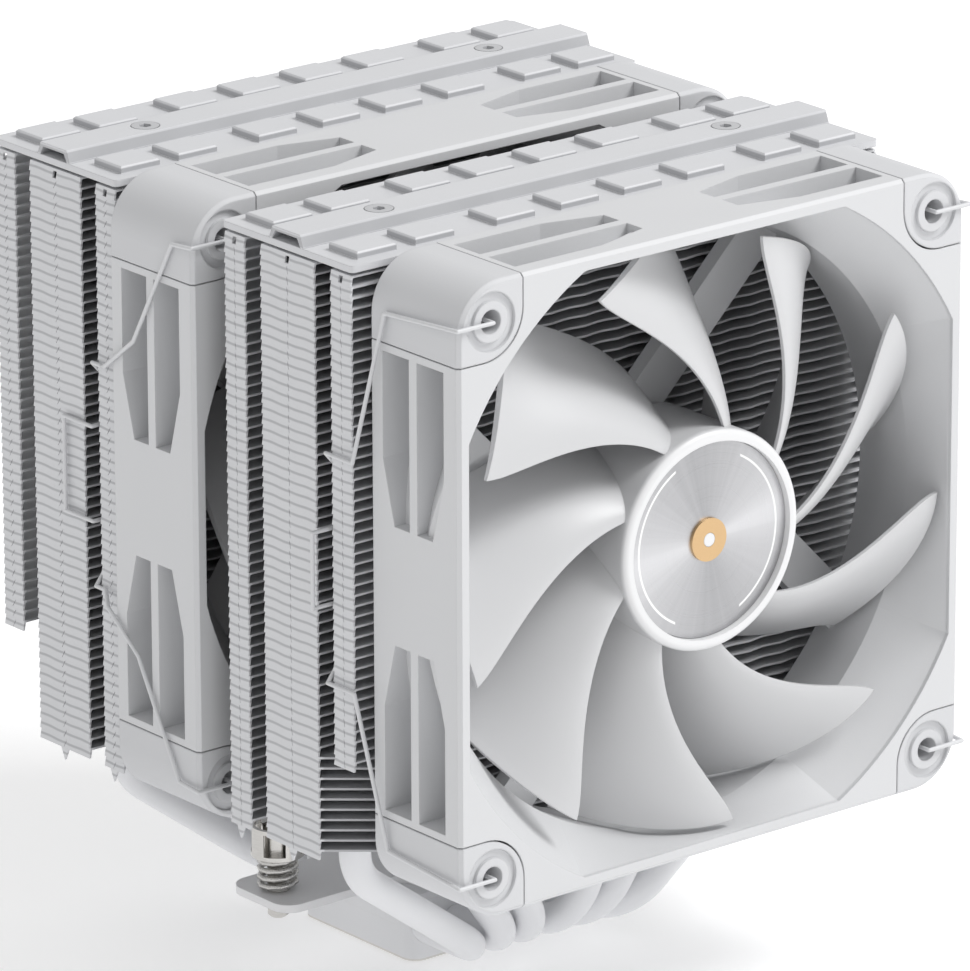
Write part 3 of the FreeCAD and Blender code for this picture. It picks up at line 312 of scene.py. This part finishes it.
plate = Finish("nickel_plated_copper", BASE_LIGHTENED_WHITE, roughness=0.34, metallic=0.0)
mill_marks = plate.noise(700.0, plate.place(scale=MILL_MARK_SCALE))
sprayed = plate.coordinate(Z).above(NICKEL_HEIGHT, NICKEL_FADE)
plate.set("Metallic", 1.0 - sprayed)
plate.set("Base Color", plate.mix(sprayed, PLATE_NICKEL, (*BASE_LIGHTENED_WHITE, 1.0)))
plate.set("Roughness", 0.26 + 0.2 * mill_marks)
plate.set("Normal", plate.bump(mill_marks, MILL_MARK_HEIGHT))
plate.put_on(nodes["cold_plate"])


# ---------------------------------------------------------------- heat pipes
# Six copper tubes, bent to shape and sprayed white: their paint is a little glossier than
# that of the fins and the block, because the drawn tube under it is smooth.

# a lighter white than the towers' paint: painted light for the shade under the towers
PIPE_LIGHTENED_WHITE = (0.84, 0.845, 0.865)
pipe_paint = spray_paint("sprayed_pipe", PIPE_LIGHTENED_WHITE, roughness=0.33)
for number in range(1, 7):
    pipe_paint.put_on(nodes["heat_pipe_%d" % number])


# ---------------------------------------------------------------- mounting bar
# A bar of pressed steel across the base, sprayed white, held to the block by two
# countersunk zinc-plated screws.

# a lighter white than the towers' paint: painted light for the shade under the towers
BAR_LIGHTENED_WHITE = (0.84, 0.84, 0.85)
ZINC_GREY = (0.62, 0.63, 0.66)
FINE_MARK_HEIGHT = 0.000006  # what turning and drawing leave on small metal pieces
bar_paint = spray_paint("sprayed_bar", BAR_LIGHTENED_WHITE, roughness=0.4)
bar_paint.put_on(nodes["mounting_bar"])

zinc = Finish("zinc_plated_screw", ZINC_GREY, roughness=0.3, metallic=1.0)
turned_marks = zinc.noise(5200.0, detail=3.0)
zinc.set("Roughness", 0.22 + 0.2 * turned_marks)
zinc.set("Normal", zinc.bump(turned_marks, FINE_MARK_HEIGHT))
zinc.put_on(nodes["bar_fixing_screws"])


# ---------------------------------------------------------------- captive mounting screws
# Two turned and nickel-plated screws with a windowed collar and a cross slot, each held on
# its arm by a spring-steel clip and pushed up by a nickelled compression spring.

NICKEL = (0.66, 0.645, 0.615)
NICKEL_DARK = (0.58, 0.565, 0.54, 1.0)
NICKEL_LIGHT = (0.74, 0.725, 0.70, 1.0)
TURNING_SCALE = (1.0, 1.0, 9.0)
TURNING_HEIGHT = 0.000012
SPRING_GREY = (0.60, 0.59, 0.57)
DRAWING_SCALE = (1.0, 1.0, 4.0)
SPRING_TURNS = 3.8
SPRING_WIRE_RADIUS = 0.00055
SPRING_MEAN_RADIUS = 0.0035
SPRING_STEPS = 40            # over the whole length
WIRE_SIDES = 12
WELD_DISTANCE = 0.000001
FULL_TURN = math.radians(360.0)

nickel = Finish("nickel_plated_screw", NICKEL, roughness=0.22, metallic=1.0)
turning = nickel.noise(900.0, nickel.place(scale=TURNING_SCALE), detail=3.0)
nickel.set("Base Color", nickel.mix(turning, NICKEL_DARK, NICKEL_LIGHT))
nickel.set("Roughness", 0.16 + 0.16 * turning)
nickel.set("Normal", nickel.bump(turning, TURNING_HEIGHT))

spring_steel = Finish("nickelled_spring_wire", SPRING_GREY, roughness=0.26, metallic=1.0)
drawn = spring_steel.noise(3000.0, spring_steel.place(scale=DRAWING_SCALE))
spring_steel.set("Roughness", 0.18 + 0.2 * drawn)
spring_steel.set("Normal", spring_steel.bump(drawn, FINE_MARK_HEIGHT))

for side in ("left", "right"):
    nickel.put_on(nodes[side + "_mounting_screw"])
    spring_steel.put_on(nodes[side + "_retaining_clip"])
    low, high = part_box(side + "_screw_spring")
    middle = (low + high) / 2
    deselect_all()
    bpy.ops.mesh.primitive_circle_add(vertices=WIRE_SIDES, radius=SPRING_WIRE_RADIUS,
                                      fill_type="NOTHING",
                                      rotation=(FULL_TURN / 4, 0.0, 0.0),
                                      location=(SPRING_MEAN_RADIUS, 0.0, 0.0))
    coil = new_object(side + "_coil_spring")
    bpy.ops.object.transform_apply(location=True, rotation=True, scale=True)
    winding = coil.modifiers.new("winding", "SCREW")
    winding.steps = SPRING_STEPS
    winding.render_steps = SPRING_STEPS
    winding.iterations = 1
    winding.angle = FULL_TURN * SPRING_TURNS
    winding.screw_offset = high.z - low.z - 2 * SPRING_WIRE_RADIUS
    bpy.ops.object.modifier_apply(modifier=winding.name)
    bpy.ops.object.mode_set(mode="EDIT")
    bpy.ops.mesh.select_all(action="SELECT")
    bpy.ops.mesh.remove_doubles(threshold=WELD_DISTANCE)
    bpy.ops.mesh.select_all(action="DESELECT")
    bpy.ops.mesh.select_mode(type="EDGE")
    bpy.ops.mesh.select_non_manifold()
    bpy.ops.mesh.fill_holes(sides=0)
    bpy.ops.mesh.select_all(action="SELECT")
    bpy.ops.mesh.normals_make_consistent(inside=False)
    bpy.ops.object.mode_set(mode="OBJECT")
    bpy.ops.object.shade_smooth()
    coil.location = (middle.x, middle.y, low.z + SPRING_WIRE_RADIUS)
    bpy.ops.object.transform_apply(location=True, rotation=True, scale=True)
    spring_steel.put_on(coil)
    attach(coil, "cooler")
    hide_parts(side + "_screw_spring")
    side + "_screw_press"
    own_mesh(coil)


# ---------------------------------------------------------------- fin towers
# Two stacks of thin stamped aluminium fins, sprayed white: the outer sides of the folded tabs
# stay white and the open edges half white, further in the fins carry a painted shade for the
# dark gaps between them, and each tab on the sides carries a painted shade line.

PAINT_WHITE = (0.645, 0.65, 0.668)
FIN_WHITE = (0.70, 0.705, 0.722)
FIN_SHADE = (0.46, 0.465, 0.48, 1.0)     # painted shade between the fins, and the painted shade line on each tab
FIN_DARKEST = 0.965
FIN_GRAIN_HEIGHT = 0.00001
TOWER_Y = {"front": -0.03475, "rear": 0.03475}
FIN_HALF_WIDTH = 0.0626
FIN_HALF_DEPTH = 0.0183
# the outer sides and the open edges stay white this far in, the open edges only by this share;
# further in the fins get the painted shade
SIDE_UNSHADED_DEPTH = 0.0009
SIDE_SHADE_FADE = 0.0006
EDGE_UNSHADED_DEPTH = 0.0007
EDGE_SHADE_FADE = 0.0008
EDGE_UNSHADED_SHARE = 0.5
FIN_BASE_Z = 0.0403
FIN_PITCH = 0.002
TAB_LINE_LIFT = 0.0005       # the line is half a pitch and this much above a fin's underside
TAB_LINE_SHARE = 0.11        # half of the line's height, as a share of the pitch
TAB_LINE_FADE = 0.16
TAB_WOBBLE = 0.0001
TAB_WAVE = 0.00006
TAB_WAVE_RATE = 900.0
for name, tower_y in TOWER_Y.items():
    fins = Finish(name + "_sprayed_fins", PAINT_WHITE, roughness=0.45)
    where = fins.place(centre=(0.0, tower_y, 0.0))
    across = abs(fins.coordinate(X, where))
    along = abs(fins.coordinate(Y, where))
    # painted shade on the fins everywhere but their outer sides and, at half strength, their open
    # edges
    side = across.above(FIN_HALF_WIDTH - SIDE_UNSHADED_DEPTH, SIDE_SHADE_FADE)
    edge = along.above(FIN_HALF_DEPTH - EDGE_UNSHADED_DEPTH, EDGE_SHADE_FADE)
    free_of_painted_shade = side.maths("MAXIMUM", EDGE_UNSHADED_SHARE * edge)
    wobble = TAB_WOBBLE * fins.noise(300.0)
    wave = TAB_WAVE * (along * TAB_WAVE_RATE).maths("SINE")
    height = fins.coordinate(Z, where) + wobble + wave
    # a painted shade line across each tab on the outer sides
    phase = ((height - FIN_BASE_Z - TAB_LINE_LIFT) / FIN_PITCH).maths("FRACT")
    line = 1.0 - abs(phase - 0.5).above(TAB_LINE_SHARE, TAB_LINE_FADE)
    grain = fins.noise(1500.0)
    white = fins.mix(grain, tinted(FIN_WHITE, FIN_DARKEST), tinted(FIN_WHITE, PAINT_LIGHTEST))
    tabs = fins.mix(line * side, white, FIN_SHADE)
    fins.set("Base Color", fins.mix(free_of_painted_shade, FIN_SHADE, tabs))
    fins.set("Roughness", 0.40 + 0.1 * grain)
    fins.set("Normal", fins.bump(grain, FIN_GRAIN_HEIGHT))
    fins.put_on(nodes[name + "_fin_stack"])


# ---------------------------------------------------------------- top covers and strips
# Each tower is closed by a pressed plate with raised square tiles and by a folded channel
# strip, sprayed white and held by two countersunk screws in a greyer paint. The low walls
# round tiles and strip get a painted shade.

SCREW_PAINT = (0.50, 0.505, 0.52)
WALL_PAINTED_SHADE = (0.45, 0.455, 0.47, 1.0)
WALL_FOOT = 0.0002           # the painted shade begins this far above the cover
WALL_FOOT_FADE = 0.0002
WALL_TOP = 0.0004            # and ends this far below the top
WALL_TOP_FADE = 0.0003
cover_paint = spray_paint("sprayed_cover", PAINT_WHITE, roughness=0.44)
strip_paint = spray_paint("sprayed_strip", PAINT_WHITE, roughness=0.38)
screw_paint = spray_paint("sprayed_screw", SCREW_PAINT, roughness=0.35)
plate_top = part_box("front_top_bar")[0].z
for paint, node in ((cover_paint, "front_top_cover"), (strip_paint, "front_top_bar")):
    raised_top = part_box(node)[1].z
    height = paint.coordinate(Z)
    below_top = 1.0 - height.above(raised_top - WALL_TOP, WALL_TOP_FADE)
    on_wall = height.above(plate_top + WALL_FOOT, WALL_FOOT_FADE) * below_top
    # painted shade on the low walls round the tiles and the strip
    paint.set("Base Color", paint.mix(on_wall, paint.skin, WALL_PAINTED_SHADE))
for name in ("front", "rear"):
    cover_paint.put_on(nodes[name + "_top_cover"])
    strip_paint.put_on(nodes[name + "_top_bar"])
    screw_paint.put_on(nodes[name + "_bar_screws"])


# ---------------------------------------------------------------- fan frames and pads
# Each fan has an injection-moulded white frame with a fine matt texture, and soft silicone
# pads on its four corners that keep it from humming against the fins.

FANS = ("front_fan", "middle_fan")
FRAME_WHITE = (0.645, 0.65, 0.662)
PAD_WHITE = (0.625, 0.63, 0.645)
PAD_EDGE_RADIUS = 0.0005
FRAME_GRAIN = 0.000012
PAD_GRAIN = 0.00002
FLOW_CLOUDS = 45.0           # per metre
PLASTIC_DARKEST = 0.975
PLASTIC_LIGHTEST = 1.015


def moulded_plastic(name, colour, roughness, grain_height, edge=EDGE_RADIUS):
    """White moulding from a lightly eroded mould."""
    plastic = Finish(name, colour, roughness, specular_ior_level=0.45)
    grain = plastic.noise(3200.0, detail=3.0)
    plastic.skin = plastic.clouded(colour, FLOW_CLOUDS, 1.0, PLASTIC_DARKEST, PLASTIC_LIGHTEST)
    plastic.set("Base Color", plastic.skin)
    plastic.set("Roughness", roughness - 0.05 + 0.1 * grain)
    plastic.set("Normal", plastic.bump(grain, grain_height, over=plastic.soft_edge(edge)))
    return plastic


frame_plastic = moulded_plastic("moulded_frame", FRAME_WHITE, 0.46, FRAME_GRAIN)
pad_silicone = moulded_plastic("silicone_pad", PAD_WHITE, 0.6, PAD_GRAIN, PAD_EDGE_RADIUS)
for fan in FANS:
    frame_plastic.put_on(nodes[fan + "_frame"])
    pad_silicone.put_on(nodes[fan + "_corner_pads"])


# ---------------------------------------------------------------- rotors
# One moulding of hub and nine sickle blades in each fan, smoother than the frame and a
# little glossy, so that the blades shade softly from light to grey. The blades get a darker
# white than the hub's face, as painted shade for the light that the duct keeps off them.

FAN_CENTRE_Z = 0.0963
HUB_RADIUS = 0.021
HUB_EDGE_FADE = 0.0004
HUB_FACE_DEPTH = 0.0026
HUB_FACE_FADE = 0.0006
RIM_WHITE = (0.78, 0.782, 0.79, 1.0)
# darker than the hub face's white: painted shade inside the duct
BLADE_SHADED_WHITE = (0.60, 0.603, 0.613)
BLADE_GRAIN = 0.000005
for fan in FANS:
    front_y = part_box(fan + "_rotor")[0].y
    blades = moulded_plastic(fan + "_moulding", BLADE_SHADED_WHITE, 0.36, BLADE_GRAIN)
    spot = blades.place(centre=(0.0, front_y, FAN_CENTRE_Z))
    sideways = blades.coordinate(X, spot)
    depth = blades.coordinate(Y, spot)
    upwards = blades.coordinate(Z, spot)
    radius = (sideways * sideways + upwards * upwards) ** 0.5
    in_hub = 1.0 - radius.above(HUB_RADIUS - HUB_EDGE_FADE / 2, HUB_EDGE_FADE)
    at_face = 1.0 - depth.above(HUB_FACE_DEPTH, HUB_FACE_FADE)
    blades.set("Base Color", blades.mix(in_hub * at_face, blades.skin, RIM_WHITE))
    blades.put_on(nodes[fan + "_rotor"])


# ---------------------------------------------------------------- hub discs and rings
# A spun aluminium disc lies in the hub, with a printed circle near its rim that stops
# above and below, and a gold anodised ring round the hub's white centre pip. The disc's
# colour holds a painted reflection: broad sheen, glints and rays round its centre, over the
# fine spun rings.

DISC_METAL = (0.78, 0.775, 0.77)
# the painted reflection on the disc runs between these two colours
DISC_DARK = (0.33, 0.33, 0.34, 1.0)
DISC_LIGHT = (0.66, 0.66, 0.675, 1.0)
PRINT_WHITE = (0.90, 0.90, 0.90, 1.0)
PRINT_RADIUS = 0.0164
PRINT_WIDTH = 0.00022
PRINT_FADE = 0.00006
PRINT_GAP = 0.0077           # half of the gap above and below
PRINT_GAP_FADE = 0.0003
# shares of broad sheen, glints and rays in the painted reflection, and of the spun rings
SHEEN_ANGLE = math.radians(18.0)
SHEEN_SHARE, SHEEN_POWER = 0.42, 0.7
GLINT_SHARE, GLINT_POWER = 0.3, 14.0
RAY_SHARE = 0.22
RING_SHARE = 0.16
RING_HEIGHT = 0.00002
GOLD = (0.80, 0.56, 0.30)
GOLD_DARK = (0.60, 0.40, 0.205, 1.0)
GOLD_LIGHT = (0.70, 0.485, 0.27, 1.0)
for fan in FANS:
    low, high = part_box(fan + "_hub_disc")
    disc = Finish(fan + "_spun_disc", DISC_METAL, roughness=0.3, metallic=1.0)
    spot = disc.place(centre=(0.0, (low.y + high.y) / 2, FAN_CENTRE_Z))
    sideways = disc.coordinate(X, spot)
    upwards = disc.coordinate(Z, spot)
    radius = (sideways * sideways + upwards * upwards) ** 0.5
    on_circle = 1.0 - abs(radius - PRINT_RADIUS).above(PRINT_WIDTH, PRINT_FADE)
    printed = on_circle * abs(sideways).above(PRINT_GAP, PRINT_GAP_FADE)
    angle = upwards.maths("ARCTAN2", sideways)
    sheen = 0.5 + 0.5 * (2.0 * angle - SHEEN_ANGLE).maths("COSINE")
    rays = disc.line_noise(angle, 7.0, detail=3.0, roughness=0.65)
    rings = disc.line_noise(radius, 9000.0, detail=2.0)
    # painted reflection: sheen and glints by angle and rays round the centre, with the spun rings
    # in it
    spun = (SHEEN_SHARE * sheen ** SHEEN_POWER + GLINT_SHARE * sheen ** GLINT_POWER
            + RAY_SHARE * rays + RING_SHARE * rings)
    metal = disc.mix(spun, DISC_DARK, DISC_LIGHT)
    disc.set("Base Color", disc.mix(printed, metal, PRINT_WHITE))
    disc.set("Metallic", 1.0 - 0.8 * printed)
    disc.set("Roughness", 0.24 + 0.12 * rings)
    disc.set("Normal", disc.bump(rings, RING_HEIGHT))
    disc.put_on(nodes[fan + "_hub_disc"])

gold = Finish("gold_anodised_ring", GOLD, roughness=0.34, metallic=0.85)
satin = gold.noise(4200.0, detail=3.0)
gold.set("Base Color", gold.mix(satin, GOLD_DARK, GOLD_LIGHT))
gold.set("Roughness", 0.28 + 0.14 * satin)
gold.set("Normal", gold.bump(satin, FINE_MARK_HEIGHT))
for fan in FANS:
    gold.put_on(nodes[fan + "_hub_ring"])


# ---------------------------------------------------------------- motors
# Inside each hub sit a deep-drawn steel yoke, a ring magnet, a ground shaft, a brass
# bearing tube, a laminated stator with copper windings and a small green board.

METAL_DARKEST = 0.85
METAL_LIGHTEST = 1.1
MARK_HEIGHT = 0.00001
FERRITE = (0.035, 0.035, 0.038)
FERRITE_DARK = (0.025, 0.025, 0.028, 1.0)
FERRITE_LIGHT = (0.06, 0.06, 0.064, 1.0)
BOARD_GREEN = (0.02, 0.16, 0.07)
TRACK_GREEN = (0.015, 0.13, 0.055, 1.0)
TRACK_EDGE_GREEN = (0.05, 0.30, 0.12, 1.0)
TRACKS_PER_METRE = 420.0
TRACK_HEIGHT = 0.00003


def bare_metal(name, colour, roughness, per_metre, stretch=(1.0, 1.0, 1.0)):
    """Uncoated metal with the marks of its making."""
    metal = Finish(name, colour, roughness, metallic=1.0)
    marks = metal.noise(per_metre, metal.place(scale=stretch), detail=3.0)
    metal.set("Base Color", metal.mix(marks, tinted(colour, METAL_DARKEST),
                                      tinted(colour, METAL_LIGHTEST)))
    metal.set("Roughness", roughness - 0.08 + 0.16 * marks)
    metal.set("Normal", metal.bump(marks, MARK_HEIGHT))
    return metal


yoke_steel = bare_metal("drawn_yoke_steel", (0.50, 0.50, 0.51), 0.38, 900.0)
shaft_steel = bare_metal("ground_shaft_steel", (0.70, 0.70, 0.71), 0.2, 2400.0)
bearing_brass = bare_metal("turned_brass", (0.70, 0.54, 0.28), 0.3, 1800.0, (1.0, 8.0, 1.0))
stator_steel = bare_metal("laminated_steel", (0.34, 0.35, 0.37), 0.45, 2200.0, (0.05, 1.0, 0.05))
copper_wire = bare_metal("enamelled_copper", (0.66, 0.30, 0.13), 0.28, 2600.0, (1.0, 0.1, 1.0))

magnet_black = Finish("bonded_ferrite", FERRITE, roughness=0.6)
specks = magnet_black.noise(5000.0)
magnet_black.set("Base Color", magnet_black.mix(specks, FERRITE_DARK, FERRITE_LIGHT))
magnet_black.set("Normal", magnet_black.bump(specks, MARK_HEIGHT))

solder_mask = Finish("solder_mask", BOARD_GREEN, roughness=0.35)
cells = solder_mask.node("ShaderNodeTexVoronoi", {"feature": "DISTANCE_TO_EDGE"},
                         {"Vector": solder_mask.place(), "Scale": TRACKS_PER_METRE})
inside_cell = cells.above(edge=0.06, softness=0.04)
solder_mask.set("Base Color", solder_mask.mix(inside_cell, TRACK_EDGE_GREEN, TRACK_GREEN))
solder_mask.set("Normal", solder_mask.bump(1.0 - inside_cell, TRACK_HEIGHT))

for fan in FANS:
    yoke_steel.put_on(nodes[fan + "_steel_yoke"])
    shaft_steel.put_on(nodes[fan + "_shaft"])
    bearing_brass.put_on(nodes[fan + "_bearing"])
    stator_steel.put_on(nodes[fan + "_stator"])
    copper_wire.put_on(nodes[fan + "_coils"])
    magnet_black.put_on(nodes[fan + "_magnet"])
    solder_mask.put_on(nodes[fan + "_circuit_board"])


# ---------------------------------------------------------------- wire clips
# Four clips of 0.8 mm spring wire with a white coating, each held in two corner holes of a
# fan and hooked into the notch of the fins, with a small finger loop in the middle.

CLIP_WHITE = (0.66, 0.665, 0.68)
clip_coating = spray_paint("coated_clip_wire", CLIP_WHITE, roughness=0.35)
for name in ("front", "middle"):
    for side in ("left", "right"):
        clip_coating.put_on(nodes["%s_clip_%s" % (name, side)])
